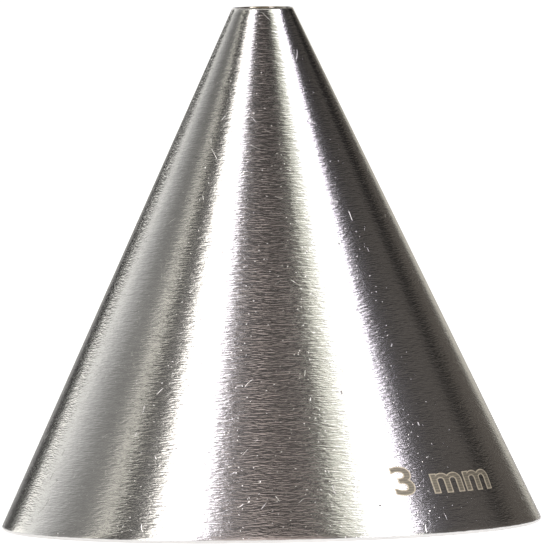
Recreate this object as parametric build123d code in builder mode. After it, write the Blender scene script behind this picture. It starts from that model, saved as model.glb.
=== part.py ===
"""A plain round piping nozzle: a hollow cone of brushed stainless sheet, open at both ends.

The wall is one flat blank rolled into a cone and closed by a butt weld down the back. The weld is dressed
flush outside and stands a little proud inside, as its root bead. Both ends are trimmed square to the axis
and their edges are rounded. The outlet at the tip is reamed to size, which leaves a short straight land.

Millimetres. Z runs up the axis, from the middle of the base rim to the tip. The weld is on the +Y side.
"""

from build123d import *
import math
import os

# Overall sizes
base_diameter = 35.0  # across the widest part of the rounded base rim
height = 33.6
outlet_diameter = 3.0
outlet_land = 0.2  # straight length that the reamer leaves in the outlet
sheet_thickness = 0.5

# Edges rounded by deburring
base_outer_rounding = 0.2
base_inner_rounding = 0.1
tip_outer_rounding = 0.15
tip_inner_rounding = 0.05

# Weld down the back
weld_width = 0.8
root_bead_width = 0.6
root_bead_height = 0.1
root_bead_margin = 1.2  # how far short of each end of the wall the bead is dressed away
bead_rounding_share = 0.9  # of the bead's height

# The wall's slope. The outer face touches the base rounding, and its inner face meets the land's lower end
# one sheet thickness further in, so the slope is that of the line which touches both.
base_radius = base_diameter / 2
outlet_radius = outlet_diameter / 2
land_start = height - outlet_land
spread = base_radius - base_outer_rounding - outlet_radius
rise = land_start - base_outer_rounding
turn_to_line = math.acos((sheet_thickness - base_outer_rounding) / math.hypot(spread, rise))
half_angle = turn_to_line - math.atan2(rise, spread)

# Corners of the wall's section before rounding, as distance from the axis and height
wall_across = sheet_thickness / math.cos(half_angle)  # the sheet's thickness measured level
inner_base_radius = outlet_radius + land_start * math.tan(half_angle)
base_inner_corner = (inner_base_radius, 0)
base_outer_corner = (inner_base_radius + wall_across, 0)
tip_outer_corner = (outlet_radius + wall_across - outlet_land * math.tan(half_angle), height)
tip_inner_corner = (outlet_radius, height)
land_corner = (outlet_radius, land_start)
rounded_corners = (
    (base_inner_corner, base_inner_rounding),
    (base_outer_corner, base_outer_rounding),
    (tip_outer_corner, tip_outer_rounding),
    (tip_inner_corner, tip_inner_rounding),
)

# Inner face of the wall down the back, as a plane whose X runs up the slope and whose Z points inwards
slope_length = land_start / math.cos(half_angle)
slope_middle = ((inner_base_radius + outlet_radius) / 2, land_start / 2)
back_inner_face = Plane(
    origin=(0, slope_middle[0], slope_middle[1]),
    x_dir=(0, -math.sin(half_angle), math.cos(half_angle)),
    z_dir=(0, -math.cos(half_angle), -math.sin(half_angle)),
)


# Half section of the wall, from the base rim up to the tip
with BuildSketch(Plane.XZ) as wall_section:
    with BuildLine():
        Polyline(
            base_inner_corner,
            base_outer_corner,
            tip_outer_corner,
            tip_inner_corner,
            land_corner,
            close=True,
        )
    make_face()
    for corner, rounding in rounded_corners:
        fillet(wall_section.vertices().sort_by_distance(corner)[0], rounding)

# Strip between the two edges of the rolled blank, seen from above
with BuildSketch() as weld_strip:
    Rectangle(weld_width, base_diameter, align=(Align.CENTER, Align.MIN))


# Conical wall: the rolled blank, open along the back where the weld goes
with BuildPart() as cone_wall:
    add(wall_section.sketch)
    revolve(axis=Axis.Z)
    add(weld_strip.sketch)
    extrude(amount=height, mode=Mode.SUBTRACT)

# Root bead: the low rounded ridge that the weld leaves on the inner face
with BuildPart() as root_bead:
    with BuildSketch(back_inner_face.offset(-sheet_thickness / 2)):
        SlotOverall(slope_length - 2 * root_bead_margin, root_bead_width)
    extrude(amount=sheet_thickness / 2 + root_bead_height)
    crest = root_bead.faces().sort_by_distance(back_inner_face.offset(root_bead_height).origin)[0]
    fillet(crest.edges(), root_bead_height * bead_rounding_share)

# Weld: fills the gap flush with both faces of the sheet, with the root bead inside
with BuildPart() as seam_weld:
    add(wall_section.sketch)
    revolve(axis=Axis.Z)
    add(weld_strip.sketch)
    extrude(amount=height, mode=Mode.INTERSECT)
    add(root_bead.part)


os.makedirs("parts", exist_ok=True)

cone_wall.part.label = "cone_wall"
export_step(cone_wall.part, "parts/cone_wall.step")

seam_weld.part.label = "seam_weld"
export_step(seam_weld.part, "parts/seam_weld.step")
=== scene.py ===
"""Makes the looks of a plain round piping nozzle: a cone of stainless sheet, rolled, welded and brushed.

The sheet and its weld are swept by one Geometry Nodes tree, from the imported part's own sizes. The studio is a
pale floor, soft boxes standing round the nozzle, and a camera at the photograph's angle. Lengths are metres.
"""

import math

import bmesh
import bpy
from bpy.props import FloatProperty, FloatVectorProperty, PointerProperty, StringProperty
from mathutils import Matrix, Vector


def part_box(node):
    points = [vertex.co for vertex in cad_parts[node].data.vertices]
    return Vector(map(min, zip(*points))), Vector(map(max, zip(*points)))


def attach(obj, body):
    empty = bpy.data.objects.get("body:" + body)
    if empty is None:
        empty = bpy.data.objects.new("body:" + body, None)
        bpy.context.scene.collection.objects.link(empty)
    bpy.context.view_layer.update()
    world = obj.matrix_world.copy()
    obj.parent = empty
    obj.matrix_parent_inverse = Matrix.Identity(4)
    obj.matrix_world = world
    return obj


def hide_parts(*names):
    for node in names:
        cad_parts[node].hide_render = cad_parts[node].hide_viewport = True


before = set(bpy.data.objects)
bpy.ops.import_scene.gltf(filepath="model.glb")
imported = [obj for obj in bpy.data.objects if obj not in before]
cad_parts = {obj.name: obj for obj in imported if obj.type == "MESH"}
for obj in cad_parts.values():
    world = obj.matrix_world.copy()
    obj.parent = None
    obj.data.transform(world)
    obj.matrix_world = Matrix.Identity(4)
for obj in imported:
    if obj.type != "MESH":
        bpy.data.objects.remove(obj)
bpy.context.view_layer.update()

bl_info = {
    "name": "Piping Nozzle",
    "version": (1, 0, 0),
    "blender": (4, 5, 0),
    "location": "3D View > Sidebar > Nozzle",
    "description": "Sweeps, welds, brushes and lights a plain round piping nozzle",
    "category": "Add Mesh",
}

MM = 0.001
MICRON = 0.000001

wall_low, wall_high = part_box("cone_wall")


class NozzleSizes(bpy.types.PropertyGroup):
    """Sizes of the sheet, its rounded edges, the weld and the size mark"""

    base_diameter: FloatProperty(
        name="Base diameter", description="Across the widest part of the rounded base rim",
        default=wall_high.x - wall_low.x, unit="LENGTH")
    height: FloatProperty(
        name="Height", description="From the base rim to the tip",
        default=wall_high.z, unit="LENGTH")
    outlet_diameter: FloatProperty(
        name="Outlet diameter", description="Across the reamed hole at the tip",
        default=3.0 * MM, unit="LENGTH")
    outlet_land: FloatProperty(
        name="Outlet land", description="Straight length of the reamed hole",
        default=0.2 * MM, unit="LENGTH")
    sheet_thickness: FloatProperty(
        name="Sheet thickness", description="Thickness of the stainless sheet",
        default=0.5 * MM, unit="LENGTH")
    base_outer_rounding: FloatProperty(
        name="Base outer rounding", description="Radius on the outside of the base rim",
        default=0.2 * MM, unit="LENGTH")
    base_inner_rounding: FloatProperty(
        name="Base inner rounding", description="Radius on the inside of the base rim",
        default=0.1 * MM, unit="LENGTH")
    tip_outer_rounding: FloatProperty(
        name="Tip outer rounding", description="Radius on the outside of the tip",
        default=0.15 * MM, unit="LENGTH")
    tip_inner_rounding: FloatProperty(
        name="Tip inner rounding", description="Radius on the edge of the outlet",
        default=0.05 * MM, unit="LENGTH")
    weld_width: FloatProperty(
        name="Weld width", description="Width of the weld down the back",
        default=0.8 * MM, unit="LENGTH")
    bead_width: FloatProperty(
        name="Root bead width", description="Width of the bead inside the weld",
        default=0.6 * MM, unit="LENGTH")
    bead_height: FloatProperty(
        name="Root bead height", description="How far the bead stands into the hollow",
        default=0.1 * MM, unit="LENGTH")
    bead_margin: FloatProperty(
        name="Root bead margin", description="How far the bead is dressed away from each end",
        default=1.2 * MM, unit="LENGTH")
    bead_pitch: FloatProperty(
        name="Root bead pitch", description="Length of one ripple of the bead",
        default=0.45 * MM, unit="LENGTH")
    bead_ripple: FloatProperty(
        name="Root bead ripple", description="Share of the bead's height by which each ripple falls",
        default=0.35, min=0, max=1, subtype="FACTOR")
    mark: StringProperty(
        name="Size mark", description="The outlet's size, as etched", default="3 mm")
    mark_size: FloatProperty(
        name="Mark size", description="Type size of the mark",
        default=2.7 * MM, unit="LENGTH")
    mark_stretch: FloatProperty(
        name="Mark stretch", description="How much wider than usual the letters are", default=1.45)
    mark_weight: FloatProperty(
        name="Mark weight", description="How much each side of a stroke is thickened",
        default=0.08 * MM, unit="LENGTH")
    mark_rim: FloatProperty(
        name="Mark rim", description="Width of the pale line round each letter",
        default=0.07 * MM, unit="LENGTH")
    mark_rim_proud: FloatProperty(
        name="Mark rim proud", description="How far the pale line stands off the wall",
        default=6 * MICRON, unit="LENGTH")
    mark_fill_proud: FloatProperty(
        name="Mark fill proud", description="How far the hatched fill stands off the wall",
        default=10 * MICRON, unit="LENGTH")
    mark_root: FloatProperty(
        name="Mark root", description="How deep the letters are rooted in the wall",
        default=0.02 * MM, unit="LENGTH")
    mark_hatching: FloatProperty(
        name="Mark hatching", description="Distance between the lines that fill the letters",
        default=0.16 * MM, unit="LENGTH")
    mark_height: FloatProperty(
        name="Mark height", description="From the base to the foot of the letters",
        default=2.75 * MM, unit="LENGTH")
    mark_turn: FloatProperty(
        name="Mark turn", description="How far round to the right the mark's middle is",
        default=math.radians(45), subtype="ANGLE")


class NozzleFinish(bpy.types.PropertyGroup):
    """Colours and softness of the stainless steel, its weld and its mark"""

    steel_colour: FloatVectorProperty(
        name="Steel", description="Colour of the brushed steel", subtype="COLOR", size=3,
        min=0, max=1, default=(0.62, 0.61, 0.60))
    roughness: FloatProperty(
        name="Roughness", description="Softness of the reflections in the sheet",
        default=0.21, min=0, max=1, subtype="FACTOR")
    weld_roughness: FloatProperty(
        name="Weld roughness", description="Softness of the reflections in the weld",
        default=0.25, min=0, max=1, subtype="FACTOR")
    brushing: FloatProperty(
        name="Brushing", description="How much softer reflections are across the brushing than along it",
        default=0.15, min=0, max=1, subtype="FACTOR")
    heat_tint: FloatVectorProperty(
        name="Heat tint", description="What steel next to the weld keeps of each colour", subtype="COLOR",
        size=3, min=0, max=1, default=(1.0, 0.90, 0.70))
    mark_colour: FloatVectorProperty(
        name="Mark", description="Colour of the etched mark", subtype="COLOR", size=3,
        min=0, max=1, default=(0.58, 0.52, 0.40))
    mark_metallic: FloatProperty(
        name="Mark metallic", description="How much of the steel's shine the mark keeps",
        default=0.35, min=0, max=1, subtype="FACTOR")
    mark_roughness: FloatProperty(
        name="Mark roughness", description="Softness of the reflections in the mark",
        default=0.48, min=0, max=1, subtype="FACTOR")


class NozzleStudio(bpy.types.PropertyGroup):
    """Camera and floor"""

    camera_distance: FloatProperty(
        name="Camera distance", description="From the camera to the nozzle", default=1.4, unit="LENGTH")
    camera_elevation: FloatProperty(
        name="Camera elevation", description="How far above level the camera looks from",
        default=math.radians(3.2), subtype="ANGLE")
    camera_roll: FloatProperty(
        name="Camera roll", description="Turn of the picture, anticlockwise",
        default=math.radians(1.01), subtype="ANGLE")
    picture_width: FloatProperty(
        name="Picture width", description="Width that the picture spans at the nozzle",
        default=35.578 * MM, unit="LENGTH")
    aim_height: FloatProperty(
        name="Aim height", description="Height on the axis that the camera is aimed at first",
        default=17 * MM, unit="LENGTH")
    aim_right: FloatProperty(
        name="Aim right", description="How far the aim then moves to the right",
        default=0.485 * MM, unit="LENGTH")
    aim_down: FloatProperty(
        name="Aim down", description="How far the aim then moves down",
        default=0.726 * MM, unit="LENGTH")
    floor_colour: FloatVectorProperty(
        name="Floor", description="Colour of the floor under the light", subtype="COLOR", size=3,
        min=0, max=1, default=(0.5, 0.5, 0.5))
    floor_glow: FloatProperty(
        name="Floor glow", description="How bright the floor looks in the steel", default=0.6, min=0, max=5)


def wall_slope(sizes):
    """Half the cone's angle: the slope of the line that touches the base rounding and clears the land"""
    rise = sizes.height - sizes.outlet_land - sizes.base_outer_rounding
    spread = (sizes.base_diameter - sizes.outlet_diameter) / 2 - sizes.base_outer_rounding
    turn = math.acos((sizes.sheet_thickness - sizes.base_outer_rounding) / math.hypot(spread, rise))
    return turn - math.atan2(rise, spread)


def section_corners(sizes):
    """Corners of the wall's section: distance from the axis, height, and the rounding there"""
    slope = wall_slope(sizes)
    outlet = sizes.outlet_diameter / 2
    land_start = sizes.height - sizes.outlet_land
    across = sizes.sheet_thickness / math.cos(slope)
    inner_base = outlet + land_start * math.tan(slope)
    tip_outer = outlet + across - sizes.outlet_land * math.tan(slope)
    return {
        "Base Inner": (inner_base, 0.0, sizes.base_inner_rounding),
        "Base Outer": (inner_base + across, 0.0, sizes.base_outer_rounding),
        "Tip Outer": (tip_outer, sizes.height, sizes.tip_outer_rounding),
        "Tip Inner": (outlet, sizes.height, sizes.tip_inner_rounding),
        "Land": (outlet, land_start, 0.0),
    }


def linked_object(name, data):
    """A new object with this data, in the scene"""
    holder = bpy.data.objects.new(name, data)
    bpy.context.scene.collection.objects.link(holder)
    return holder


def plain_mesh(holder):
    """Takes an object's finished shape as a plain mesh and removes the object."""
    bpy.context.view_layer.update()
    evaluated = holder.evaluated_get(bpy.context.evaluated_depsgraph_get())
    mesh = bpy.data.meshes.new_from_object(evaluated)
    if not mesh.polygons:
        raise RuntimeError("Nothing was made for " + holder.name)
    bpy.data.objects.remove(holder)
    return mesh


class TreeMaker:
    """Adds nodes to a tree and links them, with sockets given by name or number"""

    def __init__(self, tree):
        self.tree = tree

    def add(self, kind, inputs=None, output=0, **settings):
        """One node with its settings and inputs. Returns its output socket, or the node if output is None."""
        node = self.tree.nodes.new(kind)
        for key, value in settings.items():
            setattr(node, key, value)
        for key, value in (inputs or {}).items():
            socket = node.inputs[key]
            if isinstance(value, bpy.types.NodeSocket):
                self.tree.links.new(value, socket)
            else:
                socket.default_value = value
        return node if output is None else node.outputs[output]

    def math(self, operation, first, second=0.0):
        return self.add("ShaderNodeMath", {0: first, 1: second}, operation=operation)

    def product(self, first, *others):
        for other in others:
            first = self.math("MULTIPLY", first, other)
        return first

    def vector(self, operation, first, second=(0, 0, 0), output=0):
        return self.add("ShaderNodeVectorMath", {0: first, 1: second}, output, operation=operation)

    def parts(self, vector):
        """The three numbers of a vector"""
        node = self.add("ShaderNodeSeparateXYZ", {0: vector}, output=None)
        return node.outputs[0], node.outputs[1], node.outputs[2]

    def join(self, x, y, z):
        return self.add("ShaderNodeCombineXYZ", {0: x, 1: y, 2: z})


SOCKETS = {"vector": "NodeSocketVector", "number": "NodeSocketFloat", "count": "NodeSocketInt",
           "switch": "NodeSocketBool", "material": "NodeSocketMaterial"}


def new_geometry_tree(name, inputs):
    """An empty Geometry Nodes tree with these named inputs. Returns its maker and the inputs' sockets."""
    tree = bpy.data.node_groups.new(name, "GeometryNodeTree")
    tree.interface.new_socket("Geometry", in_out="INPUT", socket_type="NodeSocketGeometry")
    for label, kind in inputs:
        tree.interface.new_socket(label, in_out="INPUT", socket_type=SOCKETS[kind])
    tree.interface.new_socket("Geometry", in_out="OUTPUT", socket_type="NodeSocketGeometry")
    maker = TreeMaker(tree)
    group = maker.add("NodeGroupInput", output=None)
    return maker, group.outputs


def finish_tree(maker, geometry, material):
    """Ends a tree in Realize Instances and Set Material"""
    real = maker.add("GeometryNodeRealizeInstances", {0: geometry})
    coated = maker.add("GeometryNodeSetMaterial", {"Geometry": real, "Material": material})
    out = maker.add("NodeGroupOutput", output=None)
    maker.tree.links.new(coated, out.inputs[0])


def swept_piece(name, tree, values):
    """Runs a tree with these values and keeps its result as a plain mesh object at the origin."""
    rough = linked_object(name + "_rough", bpy.data.meshes.new(name + "_rough"))
    modifier = rough.modifiers.new("Shape", "NODES")
    modifier.node_group = tree
    for item in tree.interface.items_tree:
        if item.item_type == "SOCKET" and item.in_out == "INPUT" and item.name in values:
            modifier[item.identifier] = values[item.name]
    mesh = plain_mesh(rough)
    mesh.name = name
    return linked_object(name, mesh)


def section_curve(maker, group, corners):
    """Closed section curve of the sheet: five corners, rounded, with long runs cut into short ones"""
    line = maker.add("GeometryNodeMeshLine", {"Count": len(corners)})
    index = maker.add("GeometryNodeInputIndex")
    place = maker.add("GeometryNodeIndexSwitch", {"Index": index}, output=None, data_type="VECTOR")
    radius = maker.add("GeometryNodeIndexSwitch", {"Index": index}, output=None, data_type="FLOAT")
    for switch in (place, radius):
        while len(switch.index_switch_items) < len(corners):
            switch.index_switch_items.new()
    for number, corner in enumerate(corners):
        maker.tree.links.new(group[corner + " Corner"], place.inputs[number + 1])
        maker.tree.links.new(group[corner + " Rounding"], radius.inputs[number + 1])
    placed = maker.add("GeometryNodeSetPosition", {"Geometry": line, "Position": place.outputs[0]})
    curve = maker.add("GeometryNodeMeshToCurve", {0: placed})
    closed = maker.add("GeometryNodeSetSplineCyclic", {"Geometry": curve, "Cyclic": True})
    stored = maker.add("GeometryNodeStoreNamedAttribute", {
        "Geometry": closed, "Name": "rounding", "Value": radius.outputs[0]},
        data_type="FLOAT", domain="POINT")
    read = maker.add("GeometryNodeInputNamedAttribute", {"Name": "rounding"}, data_type="FLOAT")
    rounded = maker.add("GeometryNodeFilletCurve", {
        "Curve": stored, "Count": group["Rounding Steps"], "Radius": read}, mode="POLY")
    here = maker.add("GeometryNodeInputPosition")
    after = maker.add("GeometryNodeOffsetPointInCurve", {"Offset": 1}, output="Point Index")
    there = maker.add("GeometryNodeFieldAtIndex", {"Value": here, "Index": after}, data_type="FLOAT_VECTOR")
    run = maker.vector("DISTANCE", here, there, output="Value")
    cuts = maker.math("FLOOR", maker.math("DIVIDE", run, group["Longest Run"]))
    return maker.add("GeometryNodeSubdivideCurve", {"Curve": rounded, "Cuts": cuts})


ON_FACE = 0.5 * MICRON  # points this near the inner face are on it


def root_bead(maker, group, across, radius, height):
    """Height of the root bead on the inner face of the weld: a low ridge, rippled, and faded at both ends"""
    lean = maker.product(height, maker.math("TANGENT", group["Slope"]))
    base_radius = maker.parts(group["Base Inner Corner"])[0]
    off_inner = maker.math("ABSOLUTE", maker.math("SUBTRACT", maker.math("ADD", radius, lean), base_radius))
    on_inner = maker.math("LESS_THAN", off_inner, ON_FACE)
    from_crest = maker.math("DIVIDE", across, maker.math("DIVIDE", group["Bead Width"], group["Weld Width"]))
    crest_squared = maker.product(from_crest, from_crest)
    dome = maker.math("MAXIMUM", maker.math("SUBTRACT", 1.0, crest_squared), 0.0)
    land_height = maker.parts(group["Land Corner"])[1]
    to_end = maker.math("MINIMUM", height, maker.math("SUBTRACT", land_height, height))
    fade = maker.add("ShaderNodeMapRange", {
        "Value": to_end, "From Min": group["Bead Margin"],
        "From Max": maker.math("ADD", group["Bead Margin"], group["Bead Width"])},
        interpolation_type="SMOOTHSTEP")
    # Ripples bow forwards, as a travelling weld pool leaves them
    bow = maker.product(crest_squared, group["Bead Pitch"])
    wave = maker.math("FRACT", maker.math("DIVIDE", maker.math("ADD", height, bow), group["Bead Pitch"]))
    ripple = maker.math("SUBTRACT", 1.0, maker.product(wave, wave, group["Bead Ripple"]))
    return maker.product(group["Bead Height"], dome, fade, ripple, on_inner, group["Is Weld"])


def rolled_sheet_tree(corners):
    """Tree that sweeps the sheet's section round the axis, as the wall with its gap or as the weld in it"""
    maker, group = new_geometry_tree("Rolled Sheet", (
        [(corner + " Corner", "vector") for corner in corners]
        + [(corner + " Rounding", "number") for corner in corners]
        + [("Rounding Steps", "count"), ("Longest Run", "number"), ("Steps Around", "count"),
           ("Weld Width", "number"), ("Is Weld", "switch"), ("Bead Width", "number"),
           ("Bead Height", "number"), ("Bead Margin", "number"), ("Bead Pitch", "number"),
           ("Bead Ripple", "number"), ("Slope", "number"), ("Sharp Angle", "number"),
           ("Material", "material")]))

    # The section is swept along a straight line first, from 1 on one side to -1 on the other, and then rolled
    section = section_curve(maker, group, corners)
    path = maker.add("GeometryNodeCurvePrimitiveLine", {"Start": (1, 0, 0), "End": (-1, 0, 0)})
    steps = maker.add("GeometryNodeResampleCurve", {
        "Curve": path, "Count": maker.math("ADD", group["Steps Around"], 1.0)})
    swept = maker.add("GeometryNodeCurveToMesh", {
        "Curve": steps, "Profile Curve": section, "Fill Caps": True})
    across, radius, depth = maker.parts(maker.add("GeometryNodeInputPosition"))
    height = maker.product(depth, -1.0)
    radius = maker.math("SUBTRACT", radius, root_bead(maker, group, across, radius, height))

    # Azimuth from the front. The gap keeps its width up to the tip, so its angle grows on the way.
    gap = maker.math("ARCSINE", maker.math("DIVIDE", group["Weld Width"], maker.product(radius, 2.0)))
    wall_turn = maker.product(across, maker.math("SUBTRACT", math.pi, gap))
    weld_turn = maker.math("ADD", math.pi, maker.product(across, gap))
    turn = maker.add("GeometryNodeSwitch", {
        "Switch": group["Is Weld"], "False": wall_turn, "True": weld_turn}, input_type="FLOAT")
    place = maker.join(
        maker.product(radius, maker.math("SINE", turn)),
        maker.product(radius, maker.math("COSINE", turn), -1.0),
        height)
    rolled = maker.add("GeometryNodeSetPosition", {"Geometry": swept, "Position": place})
    angle = maker.add("GeometryNodeInputMeshEdgeAngle")
    smooth = maker.add("FunctionNodeCompare", {
        0: angle, 1: group["Sharp Angle"]}, data_type="FLOAT", operation="LESS_THAN")
    shaded = maker.add("GeometryNodeSetShadeSmooth", {
        "Geometry": rolled, "Shade Smooth": smooth}, domain="EDGE")
    finish_tree(maker, shaded, group["Material"])
    return maker.tree


# How finely the sheet is swept: steps round each rounding and round the axis, and runs along the section.
# The weld's runs are short enough for the ripples of its bead.
ROUNDING_STEPS = 8
WALL_STEPS = 360
WALL_RUN = 0.5 * MM
WELD_STEPS = 16
WELD_RUN = 0.09 * MM
SHARP_ANGLE = math.radians(30)  # edges that turn less than this are shaded smooth


def sheet_values(sizes, material, is_weld):
    """Inputs of the rolled sheet tree for the wall or for the weld"""
    values = {
        "Rounding Steps": ROUNDING_STEPS, "Longest Run": WELD_RUN if is_weld else WALL_RUN,
        "Steps Around": WELD_STEPS if is_weld else WALL_STEPS, "Weld Width": sizes.weld_width,
        "Is Weld": is_weld, "Bead Width": sizes.bead_width, "Bead Height": sizes.bead_height,
        "Bead Margin": sizes.bead_margin, "Bead Pitch": sizes.bead_pitch, "Bead Ripple": sizes.bead_ripple,
        "Slope": wall_slope(sizes), "Sharp Angle": SHARP_ANGLE, "Material": material,
    }
    for corner, (radius, height, rounding) in section_corners(sizes).items():
        values[corner + " Corner"] = (radius, height, 0.0)
        values[corner + " Rounding"] = rounding
    return values


def rolled_sheet(sizes):
    """The rolled sheet tree, made once"""
    return bpy.data.node_groups.get("Rolled Sheet") or rolled_sheet_tree(list(section_corners(sizes)))


class MaterialMaker(TreeMaker):
    """Nodes of one new material"""

    def __init__(self, name):
        self.material = bpy.data.materials.new(name)
        self.material.use_nodes = True
        self.material.node_tree.nodes.clear()
        super().__init__(self.material.node_tree)

    def closed(self, surface):
        """Links the last shader to the output and returns the material."""
        out = self.add("ShaderNodeOutputMaterial", output=None)
        self.tree.links.new(surface, out.inputs["Surface"])
        return self.material


WANDER = 0.08  # how far brushing marks rise and fall on their way round, in millimetres
NOISE_MIDDLE = 0.5
PATCH_FADE = 0.05  # how softly a patch of scratches ends
QUARTER_TURN = 0.25


class SteelMaker(MaterialMaker):
    """Nodes for the nozzle's steel. Patterns are drawn in millimetres of the nozzle's own space."""

    def __init__(self, name):
        super().__init__(name)
        metres = self.add("ShaderNodeTexCoord", output="Object")
        self.place = self.scaled(metres, 1 / MM)
        self.x, self.y, self.z = self.parts(self.place)
        # Brushing marks wander a little up and down as they go round
        wander = self.product(self.even_noise(per_mm=0.5, detail=1.0), WANDER)
        self.brushed_place = self.vector("ADD", self.place, self.join(0.0, 0.0, wander))

    def scaled(self, vector, factor):
        return self.add("ShaderNodeVectorMath", {0: vector, "Scale": factor}, operation="SCALE")

    def noise(self, place, per_mm, detail=0.0, roughness=0.5):
        """Noise with this many features per millimetre along each axis"""
        return self.add("ShaderNodeTexNoise", {
            "Vector": self.vector("MULTIPLY", place, per_mm), "Scale": 1.0, "Detail": detail,
            "Roughness": roughness}, output="Fac")

    def even_noise(self, per_mm, detail):
        return self.noise(self.place, (per_mm, per_mm, per_mm), detail)

    def streaks(self, around, up):
        """Noise drawn out round the axis, with this many features per millimetre round it and up it"""
        return self.noise(self.brushed_place, (around, around, up))

    def ramp(self, value, low, high, to_low=0.0, to_high=1.0, kind="LINEAR"):
        return self.add("ShaderNodeMapRange", {
            "Value": value, "From Min": low, "From Max": high, "To Min": to_low, "To Max": to_high},
            interpolation_type=kind)

    def blend(self, share, at_none, at_full):
        """Goes from one number to another as a share goes from 0 to 1"""
        return self.ramp(share, 0.0, 1.0, at_none, at_full)

    def spread(self, noise, least, most, span=(0.35, 0.65)):
        """Spreads a noise from least to most over the span where most of its values are"""
        return self.ramp(noise, span[0], span[1], least, most)

    def height_sum(self, *terms):
        """Adds patterns, each given with its height in microns"""
        total = None
        for pattern, microns in terms:
            part = self.product(pattern, microns)
            total = part if total is None else self.math("ADD", total, part)
        return total

    def brushing(self):
        """Height of the brushing marks in microns: fine short ones, longer ones and a little unevenness"""
        return self.height_sum(
            (self.streaks(around=2.2, up=14.0), 12.0),
            (self.streaks(around=0.9, up=6.5), 6.0),
            (self.streaks(around=0.4, up=2.5), 4.0),
            (self.noise(self.place, (8.0, 8.0, 14.0), detail=1.0), 4.0))

    def pits(self, per_mm, share, radius):
        """Pattern of small round pits, in the share of the cells that have one, from 0 to -1"""
        cells = self.add("ShaderNodeTexVoronoi", {
            "Vector": self.place, "Scale": per_mm, "Randomness": 1.0}, output=None)
        dip = self.ramp(cells.outputs["Distance"], 0.0, radius * per_mm, -1.0, 0.0, "SMOOTHSTEP")
        chosen = self.math("LESS_THAN", self.parts(cells.outputs["Color"])[0], share)
        return self.product(dip, chosen)

    def scratches(self, shift, per_mm, patches, half_width, threshold):
        """Pattern of thin stray scratches, from 0 to -1: contour lines of a slow noise, kept in patches"""
        where = self.vector("ADD", self.place, (shift, 2 * shift, 3 * shift))
        slow = self.noise(where, (per_mm, per_mm, per_mm))
        off_line = self.math("ABSOLUTE", self.math("SUBTRACT", slow, NOISE_MIDDLE))
        line = self.ramp(off_line, 0.0, half_width * per_mm, -1.0, 0.0, "SMOOTHSTEP")
        patch = self.noise(where, (patches, patches, patches))
        return self.product(line, self.ramp(patch, threshold, threshold + PATCH_FADE))

    def metal(self, finish, colour, height, roughness):
        """Closes the material with its shader. Heights are in microns."""
        bump = self.add("ShaderNodeBump", {"Height": height, "Strength": 1.0, "Distance": MICRON})
        # Marks that run round the axis spread reflections up and down it, hence the quarter turn
        around = self.vector("NORMALIZE", self.vector("CROSS_PRODUCT", (0, 0, 1), self.place))
        surface = self.add("ShaderNodeBsdfPrincipled", {
            "Base Color": colour, "Metallic": 1.0, "Roughness": roughness, "Anisotropic": finish.brushing,
            "Anisotropic Rotation": QUARTER_TURN, "Tangent": around, "Normal": bump})
        return self.closed(surface)


def inside_wall(steel, sizes):
    """1 on the inner half of the sheet's thickness and 0 on the outer half"""
    slope = wall_slope(sizes)
    inner_base = section_corners(sizes)["Base Inner"][0] / MM
    middle = inner_base + sizes.sheet_thickness / MM / math.cos(slope) / 2
    from_axis = steel.vector("LENGTH", steel.join(steel.x, steel.y, 0.0), output="Value")
    at_base = steel.math("ADD", from_axis, steel.product(steel.z, math.tan(slope)))
    return steel.math("LESS_THAN", at_base, middle)


# Where the rims' band of wear and painted highlight starts to fade and where it ends, in millimetres from each
# end of the nozzle
BASE_RIM_BAND = 0.12
BASE_RIM_BAND_END = 0.42
TIP_RIM_BAND = 0.10
TIP_RIM_BAND_END = 0.35


def rim_wear_and_highlight(steel, sizes):
    """1 on the deburred rims at both ends and 0 away from them: the rims are worn there and carry a painted
    highlight
    """
    top = sizes.height / MM
    base = steel.ramp(steel.z, BASE_RIM_BAND, BASE_RIM_BAND_END, 1.0, 0.0, "SMOOTHSTEP")
    tip = steel.ramp(steel.z, top - TIP_RIM_BAND_END, top - TIP_RIM_BAND, kind="SMOOTHSTEP")
    return steel.math("MAXIMUM", base, tip)


# Painted shade: the steel's colour darkens towards the tip, over a length that ends short of it, in millimetres
TIP_PAINTED_SHADE = 0.78
TIP_PAINTED_SHADE_LENGTH = 20.0
TIP_PAINTED_SHADE_MARGIN = 1.6


def tip_painted_shade(steel, sizes):
    """Painted shade: colour that darkens towards the tip"""
    end = sizes.height / MM - TIP_PAINTED_SHADE_MARGIN
    return steel.ramp(steel.z, end - TIP_PAINTED_SHADE_LENGTH, end, 1.0, TIP_PAINTED_SHADE, "SMOOTHSTEP")


def tinted(steel, finish, tone, heat):
    """The steel's colour at a tone, turned towards its heat tint by 0 to 1"""
    kept = [steel.blend(heat, 1.0, part) for part in finish.heat_tint]
    return steel.vector("MULTIPLY", steel.scaled(tuple(finish.steel_colour), tone), steel.join(*kept))


# Depth of the brushing and tone of the steel inside the nozzle and on its rims, as shares of the outside's. The
# rims' lighter tone is a painted highlight.
INSIDE_DEPTH = 0.45
INSIDE_TONE = 0.86
RIM_DEPTH = 0.3
# painted highlight: the rims' colour is made lighter
RIM_PAINTED_HIGHLIGHT = 1.4

HEAT_REACH = 2.0  # how far from the weld its heat coloured the sheet, in millimetres


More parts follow.
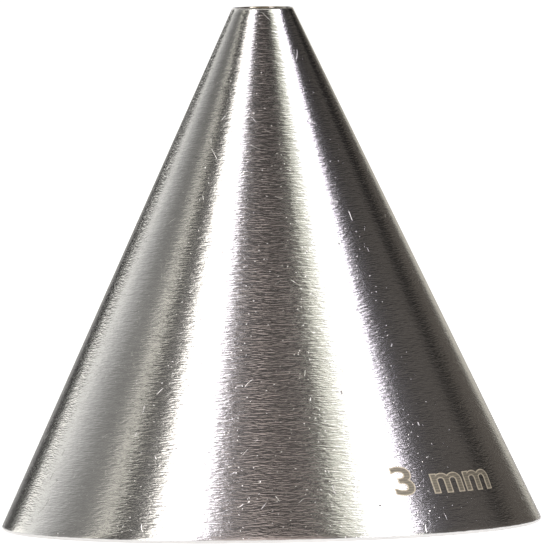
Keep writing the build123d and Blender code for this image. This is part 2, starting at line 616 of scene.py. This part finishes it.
def brushed_steel(finish, sizes):
    """Stainless sheet brushed round the axis outside and left duller inside, with pits and stray scratches"""
    steel = SteelMaker("brushed_steel")
    inside = inside_wall(steel, sizes)
    rims = rim_wear_and_highlight(steel, sizes)
    marks = steel.product(
        steel.brushing(),
        steel.blend(inside, 1.0, INSIDE_DEPTH),
        steel.blend(rims, 1.0, RIM_DEPTH))
    height = steel.math("ADD", marks, steel.height_sum(
        (steel.pits(per_mm=1.3, share=0.12, radius=0.10), 30.0),
        (steel.pits(per_mm=3.2, share=0.55, radius=0.055), 10.0),
        (steel.scratches(shift=3.0, per_mm=0.22, patches=1.1, half_width=0.020, threshold=0.635), 6.0),
        (steel.scratches(shift=8.0, per_mm=0.30, patches=1.3, half_width=0.018, threshold=0.655), 6.0)))
    tone = steel.product(
        steel.spread(steel.streaks(around=1.0, up=8.0), least=0.95, most=1.0),
        steel.spread(steel.even_noise(per_mm=0.25, detail=2.0), least=0.95, most=1.0),
        # painted shade: darker towards the tip
        tip_painted_shade(steel, sizes),
        steel.blend(inside, 1.0, INSIDE_TONE),
        # painted highlight: lighter colour on the rims
        steel.blend(rims, 1.0, RIM_PAINTED_HIGHLIGHT))
    half_weld = sizes.weld_width / MM / 2
    from_middle = steel.math("ABSOLUTE", steel.x)
    heat = steel.product(
        steel.ramp(from_middle, half_weld, half_weld + HEAT_REACH, 1.0, 0.0, "SMOOTHSTEP"),
        steel.math("GREATER_THAN", steel.y, 0.0),
        inside,
        steel.spread(steel.even_noise(per_mm=1.2, detail=2.0), least=0.4, most=1.0, span=(0.3, 0.6)))
    return steel.metal(finish, tinted(steel, finish, tone, heat), height, finish.roughness)


WELD_DEPTH = 0.8  # of the sheet's brushing
OUTSIDE_HEAT = 0.22  # share of the heat tint that dressing leaves on the outside

# The fine dark line along each edge of the weld: millimetres in from the edge, and tone
EDGE_LINE = 0.01
EDGE_LINE_END = 0.07
EDGE_TONE = 0.72


def dressed_weld(finish, sizes):
    """Weld metal ground flush and brushed over: warmer than the sheet, with a fine line along each edge"""
    steel = SteelMaker("dressed_weld")
    inside = inside_wall(steel, sizes)
    half_weld = sizes.weld_width / MM / 2
    from_middle = steel.math("ABSOLUTE", steel.x)
    edge = steel.ramp(from_middle, half_weld - EDGE_LINE_END, half_weld - EDGE_LINE, kind="SMOOTHSTEP")
    bowed = steel.math("ADD", steel.z, steel.product(from_middle, from_middle))
    ripple = steel.math("SINE", steel.product(bowed, 2 * math.pi * MM / sizes.bead_pitch))
    marks = steel.product(steel.brushing(), WELD_DEPTH)
    height = steel.math("ADD", marks, steel.height_sum(
        (ripple, 0.8),
        (edge, -12.0),
        (steel.pits(per_mm=2.5, share=0.2, radius=0.06), 18.0)))
    flow = steel.noise(steel.place, (3.0, 3.0, 1.2), detail=2.0, roughness=0.6)
    tone = steel.product(
        steel.spread(flow, least=0.84, most=0.98, span=(0.3, 0.7)),
        steel.blend(edge, 1.0, EDGE_TONE),
        # painted shade: darker towards the tip
        tip_painted_shade(steel, sizes))
    heat = steel.blend(inside, OUTSIDE_HEAT, 1.0)
    return steel.metal(finish, tinted(steel, finish, tone, heat), height, finish.weld_roughness)


# Tones of the mark's hatching
HATCH_DARK = 0.28
HATCH_PALE = 0.46

MARK_GRAIN = 6 * MICRON  # height of the oxide's grain


def etched_mark(finish, sizes):
    """Matte beige oxide of a laser mark: a pale line round each letter and fine hatching in it"""
    steel = SteelMaker("etched_mark")
    hatched = steel.add("ShaderNodeAttribute", output="Fac", attribute_name="hatched")
    lines = steel.math("SINE", steel.product(steel.z, 2 * math.pi * MM / sizes.mark_hatching))
    fill = steel.ramp(lines, -1.0, 1.0, HATCH_DARK, HATCH_PALE)
    tone = steel.product(
        steel.spread(steel.even_noise(per_mm=9.0, detail=1.0), least=0.82, most=1.1, span=(0.3, 0.7)),
        steel.add("ShaderNodeMix", {"Factor": hatched, "A": 1.0, "B": fill}, "Result", data_type="FLOAT"))
    grain = steel.add("ShaderNodeBump", {
        "Height": steel.even_noise(per_mm=14.0, detail=1.0), "Strength": 1.0, "Distance": MARK_GRAIN})
    surface = steel.add("ShaderNodeBsdfPrincipled", {
        "Base Color": steel.scaled(tuple(finish.mark_colour), tone), "Metallic": finish.mark_metallic,
        "Roughness": finish.mark_roughness, "Normal": grain})
    return steel.closed(surface)


class NOZZLE_OT_cone_wall(bpy.types.Operator):
    """Rolls the sheet into the conical wall, open along the back for the weld"""

    bl_idname = "nozzle.cone_wall"
    bl_label = "Cone wall"

    def execute(self, context):
        sizes = context.scene.nozzle_sizes
        steel = brushed_steel(context.scene.nozzle_finish, sizes)
        wall = swept_piece("nozzle_wall", rolled_sheet(sizes), sheet_values(sizes, steel, False))
        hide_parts("cone_wall")
        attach(wall, "root")
        return {"FINISHED"}


class NOZZLE_OT_seam_weld(bpy.types.Operator):
    """Closes the back with the dressed weld and its root bead"""

    bl_idname = "nozzle.seam_weld"
    bl_label = "Seam weld"

    def execute(self, context):
        sizes = context.scene.nozzle_sizes
        steel = dressed_weld(context.scene.nozzle_finish, sizes)
        weld = swept_piece("nozzle_weld", rolled_sheet(sizes), sheet_values(sizes, steel, True))
        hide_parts("seam_weld")
        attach(weld, "root")
        return {"FINISHED"}


# Letters are first made one em big, because tiny ones lose their corners
EM = 1.0
LETTER_CURVE_STEPS = 8
SAME_POINT = 0.0005 * EM  # points of a letter that are nearer than this are merged
CUT_TOLERANCE = 0.0001 * EM

SLICE_WIDTH = 0.2 * MM  # of the slices that let letters bend round the wall


def flat_letters(words, weight):
    """Closed flat letters, one em in size and one em thick, standing on y = 0"""
    curve = bpy.data.curves.new("letters", "FONT")
    curve.body = words
    curve.size = EM
    curve.align_x = "CENTER"
    curve.offset = weight
    curve.extrude = EM / 2
    curve.resolution_u = LETTER_CURVE_STEPS
    return plain_mesh(linked_object("letters", curve))


def wrapped_letters(sizes, weight, proud, hatched):
    """Mesh of the mark's letters, cut into narrow upright slices and wrapped round the outer face"""
    letters = bmesh.new()
    letters.from_mesh(flat_letters(sizes.mark, weight / sizes.mark_size * EM))
    bmesh.ops.remove_doubles(letters, verts=letters.verts[:], dist=SAME_POINT)
    slice_width = SLICE_WIDTH / (sizes.mark_size * sizes.mark_stretch) * EM
    last_cut = int(max(abs(vert.co.x) for vert in letters.verts) / slice_width)
    for number in range(-last_cut, last_cut + 1):
        bmesh.ops.bisect_plane(
            letters, geom=letters.verts[:] + letters.edges[:] + letters.faces[:], dist=CUT_TOLERANCE,
            plane_co=(number * slice_width, 0, 0), plane_no=(1, 0, 0))
    slope = wall_slope(sizes)
    outer_base = section_corners(sizes)["Base Outer"][0]
    for vert in letters.verts:
        across, up, out = vert.co / EM
        height = sizes.mark_height + up * sizes.mark_size * math.cos(slope)
        lift = proud if out > 0 else -sizes.mark_root
        radius = outer_base - height * math.tan(slope)
        turn = sizes.mark_turn + across * sizes.mark_size * sizes.mark_stretch / radius
        radius += lift * math.cos(slope)
        vert.co = (radius * math.sin(turn), -radius * math.cos(turn), height + lift * math.sin(slope))
    bmesh.ops.recalc_face_normals(letters, faces=letters.faces[:])
    layer = letters.verts.layers.float.new("hatched")
    for vert in letters.verts:
        vert[layer] = hatched
    mesh = bpy.data.meshes.new("letters")
    letters.to_mesh(mesh)
    letters.free()
    return mesh


class NOZZLE_OT_size_mark(bpy.types.Operator):
    """Etches the outlet's size low on the right of the wall: a pale outline with a hatched fill on it"""

    bl_idname = "nozzle.size_mark"
    bl_label = "Size mark"

    def execute(self, context):
        sizes = context.scene.nozzle_sizes
        fill_weight = sizes.mark_weight - sizes.mark_rim
        both = bmesh.new()
        both.from_mesh(wrapped_letters(sizes, sizes.mark_weight, sizes.mark_rim_proud, 0.0))
        both.from_mesh(wrapped_letters(sizes, fill_weight, sizes.mark_fill_proud, 1.0))
        mesh = bpy.data.meshes.new("size_mark")
        both.to_mesh(mesh)
        both.free()
        mesh.materials.append(etched_mark(context.scene.nozzle_finish, sizes))
        mark = linked_object("size_mark", mesh)
        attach(mark, "root")
        return {"FINISHED"}


# Soft boxes round the nozzle. Azimuths are in degrees from the camera's side, to the right; then come the
# elevations between which a box stands, how far its top leans to the right, its radiance and its tint.
SOFT_BOXES = (
    ("left_rear_edge", -178, -160, 0, 62, 0, 0.45, (1.02, 1.00, 0.97)),
    ("left_rear", -170, -150, 11, 62, 0, 1.9, (1.02, 1.00, 0.97)),
    ("left_panel_edge", -144, -138, 0, 13, 0, 2.3, (1.01, 1.00, 0.94)),
    ("left_panel", -138, -128, 0, 27, 0, 0.40, (1.02, 1.00, 0.90)),
    ("left_step_one", -138, -122, 0, 31, 0, 0.24, (0.99, 1.00, 1.00)),
    ("left_step_two", -138, -115, 0, 33, 0, 0.20, (0.99, 1.00, 1.00)),
    ("left_step_three", -138, -109, 0, 36, 0, 0.14, (0.99, 1.00, 1.00)),
    ("left_base", -138, -83, 0, 44, 0, 0.28, (1.01, 1.00, 0.96)),
    ("left_rise_one", -94, -83, 0, 62, 0, 0.06, (1.03, 1.00, 0.88)),
    ("left_rise_two", -90, -83, 0, 62, 0, 0.22, (1.03, 1.00, 0.88)),
    ("left_rise_three", -87, -83, 0, 62, 0, 1.25, (1.03, 1.00, 0.88)),
    ("left_key_outer", -58, -47, 0, 62, 0, 4.4, (1.03, 1.00, 0.93)),
    ("left_key_inner", -47, -35.5, 0, 62, 0, 4.4, (1.01, 0.97, 1.05)),
    ("front_left", -29, -3, 0, 40, 0, 0.50, (1.12, 0.97, 0.92)),
    ("front_right", -10, 24, 0, 40, 0, 0.42, (1.14, 0.95, 0.88)),
    ("front_high", -30, 30, 42, 66, 0, 0.02, (1.10, 0.97, 0.90)),
    ("right_soft", 36, 41, 0, 62, 0, 1.65, (1.03, 1.03, 0.88)),
    ("right_rise", 45, 53, 0, 62, 0, 1.5, (1.00, 1.02, 0.92)),
    ("right_key_inner", 53, 64, 0, 62, 0, 4.8, (1.00, 1.00, 0.95)),
    ("right_key_outer", 55, 65.5, 0, 62, 35, 4.8, (1.01, 0.95, 1.09)),
    ("right_wall_near", 85, 121, 0, 31, 0, 0.10, (1.12, 1.00, 0.90)),
    ("right_wall_far", 122, 154, 0, 17, 0, 0.105, (1.14, 1.00, 0.86)),
    ("right_rear", 154, 178, 0, 62, 0, 0.66, (1.05, 1.00, 0.88)),
    ("overhead", -70, 70, 68, 90, 0, 1.2, (1.04, 1.00, 0.94)),
)
SOFT_BOX_DISTANCE = 0.6
SOFT_BOX_AIM = 15 * MM  # height on the axis that the boxes face

FLOOR_REACH = 3.0
FLOOR_ROUGHNESS = 0.9
WHITE = (1, 1, 1, 1)
DIM_ROOM = (0.015, 0.0145, 0.014, 1)  # what lies beyond the soft boxes, as the steel sees it
BACKDROP_STRENGTH = 1.05

SENSOR_WIDTH = 36.0  # millimetres, as Blender gives it
CAMERA_NEAR = 0.1
CAMERA_FAR = 20.0


class NOZZLE_OT_studio(bpy.types.Operator):
    """Sets the pale floor, the soft boxes and the camera"""

    bl_idname = "nozzle.studio"
    bl_label = "Studio"

    def execute(self, context):
        studio = context.scene.nozzle_studio
        self.floor(studio)
        for box in SOFT_BOXES:
            self.soft_box(*box)
        self.world(context.scene)
        self.camera(context.scene, studio)
        context.scene.view_settings.view_transform = "Standard"
        return {"FINISHED"}

    def floor(self, studio):
        """A plane that is clear from below, so that the hollow can be looked into"""
        mesh = bpy.data.meshes.new("floor")
        corners = [(x * FLOOR_REACH, y * FLOOR_REACH, 0) for x, y in ((-1, -1), (1, -1), (1, 1), (-1, 1))]
        mesh.from_pydata(corners, [], [(0, 1, 2, 3)])
        maker = MaterialMaker("pale_floor")
        # Glows for the camera, so that it stays white, and less in the steel, whose rims reflect it
        path = maker.add("ShaderNodeLightPath", output=None)
        mirrored = maker.product(path.outputs["Is Glossy Ray"], studio.floor_glow)
        seen = maker.math("MAXIMUM", path.outputs["Is Camera Ray"], mirrored)
        above = maker.add("ShaderNodeBsdfPrincipled", {
            "Base Color": (*studio.floor_colour, 1), "Roughness": FLOOR_ROUGHNESS, "Emission Color": WHITE,
            "Emission Strength": seen})
        from_below = maker.add("ShaderNodeNewGeometry", output="Backfacing")
        surface = maker.add("ShaderNodeMixShader", {
            0: from_below, 1: above, 2: maker.add("ShaderNodeBsdfTransparent")})
        mesh.materials.append(maker.closed(surface))
        linked_object("floor", mesh)

    def soft_box(self, name, start, stop, low, high, lean, radiance, tint):
        """A box that faces the nozzle and fills a window of azimuth and elevation"""
        turn = math.radians((start + stop) / 2)
        lift = math.radians((low + high) / 2)
        light = bpy.data.lights.new(name, "AREA")
        light.shape = "RECTANGLE"
        light.size = 2 * SOFT_BOX_DISTANCE * math.cos(lift) * math.tan(math.radians(stop - start) / 2)
        light.size_y = 2 * SOFT_BOX_DISTANCE * math.tan(math.radians(high - low) / 2)
        light.energy = radiance * math.pi * light.size * light.size_y
        light.color = tint
        box = linked_object(name, light)
        away = Vector((math.sin(turn) * math.cos(lift), -math.cos(turn) * math.cos(lift), math.sin(lift)))
        box.matrix_world = (
            Matrix.Translation(SOFT_BOX_DISTANCE * away + Vector((0, 0, SOFT_BOX_AIM)))
            @ Matrix.Rotation(turn, 4, "Z")
            @ Matrix.Rotation(math.radians(90) - lift, 4, "X")
            @ Matrix.Rotation(-math.radians(lean), 4, "Z"))
        box.visible_camera = False

    def world(self, scene):
        """White behind the nozzle for the camera, and a dim room for the steel"""
        world = bpy.data.worlds.new("studio")
        scene.world = world
        world.use_nodes = True
        world.node_tree.nodes.clear()
        maker = TreeMaker(world.node_tree)
        seen = maker.add("ShaderNodeLightPath", output="Is Camera Ray")
        dim = maker.add("ShaderNodeBackground", {"Color": DIM_ROOM, "Strength": 1.0})
        white = maker.add("ShaderNodeBackground", {"Color": WHITE, "Strength": BACKDROP_STRENGTH})
        mixed = maker.add("ShaderNodeMixShader", {0: seen, 1: dim, 2: white})
        out = maker.add("ShaderNodeOutputWorld", output=None)
        maker.tree.links.new(mixed, out.inputs["Surface"])

    def camera(self, scene, studio):
        """Long lens in front of the nozzle, a little above level"""
        data = bpy.data.cameras.new("camera")
        data.sensor_width = SENSOR_WIDTH
        data.lens = SENSOR_WIDTH * studio.camera_distance / studio.picture_width
        data.clip_start = CAMERA_NEAR
        data.clip_end = CAMERA_FAR
        level = studio.camera_elevation
        back = Vector((0, -math.cos(level), math.sin(level)))
        side = Vector((1, 0, 0))
        up = back.cross(side)
        # Picture axes after the roll: the nozzle turns anticlockwise as the camera goes clockwise
        turn = studio.camera_roll
        right = side * math.cos(turn) - up * math.sin(turn)
        over = side * math.sin(turn) + up * math.cos(turn)
        aim = Vector((0, 0, studio.aim_height)) + right * studio.aim_right - over * studio.aim_down
        axes = Matrix((right, over, back)).transposed().to_4x4()
        camera = linked_object("camera", data)
        camera.matrix_world = Matrix.Translation(aim + back * studio.camera_distance) @ axes
        scene.camera = camera


GROUPS = (("nozzle_sizes", NozzleSizes), ("nozzle_finish", NozzleFinish), ("nozzle_studio", NozzleStudio))
STEPS = (NOZZLE_OT_cone_wall, NOZZLE_OT_seam_weld, NOZZLE_OT_size_mark, NOZZLE_OT_studio)


class NOZZLE_PT_panel(bpy.types.Panel):
    """Lists the nozzle's operators and settings"""

    bl_label = "Piping Nozzle"
    bl_idname = "NOZZLE_PT_panel"
    bl_space_type = "VIEW_3D"
    bl_region_type = "UI"
    bl_category = "Nozzle"

    def draw(self, context):
        column = self.layout.column()
        for step in STEPS:
            column.operator(step.bl_idname)
        for name, group in GROUPS:
            for setting in group.__annotations__:
                column.prop(getattr(context.scene, name), setting)


def register():
    for name, group in GROUPS:
        bpy.utils.register_class(group)
        setattr(bpy.types.Scene, name, PointerProperty(type=group))
    for step in STEPS:
        bpy.utils.register_class(step)
    bpy.utils.register_class(NOZZLE_PT_panel)


def unregister():
    bpy.utils.unregister_class(NOZZLE_PT_panel)
    for step in reversed(STEPS):
        bpy.utils.unregister_class(step)
    for name, group in reversed(GROUPS):
        delattr(bpy.types.Scene, name)
        bpy.utils.unregister_class(group)


def main():
    register()
    bpy.ops.nozzle.cone_wall()
    bpy.ops.nozzle.seam_weld()
    bpy.ops.nozzle.size_mark()
    bpy.ops.nozzle.studio()


if __name__ == "__main__":
    main()
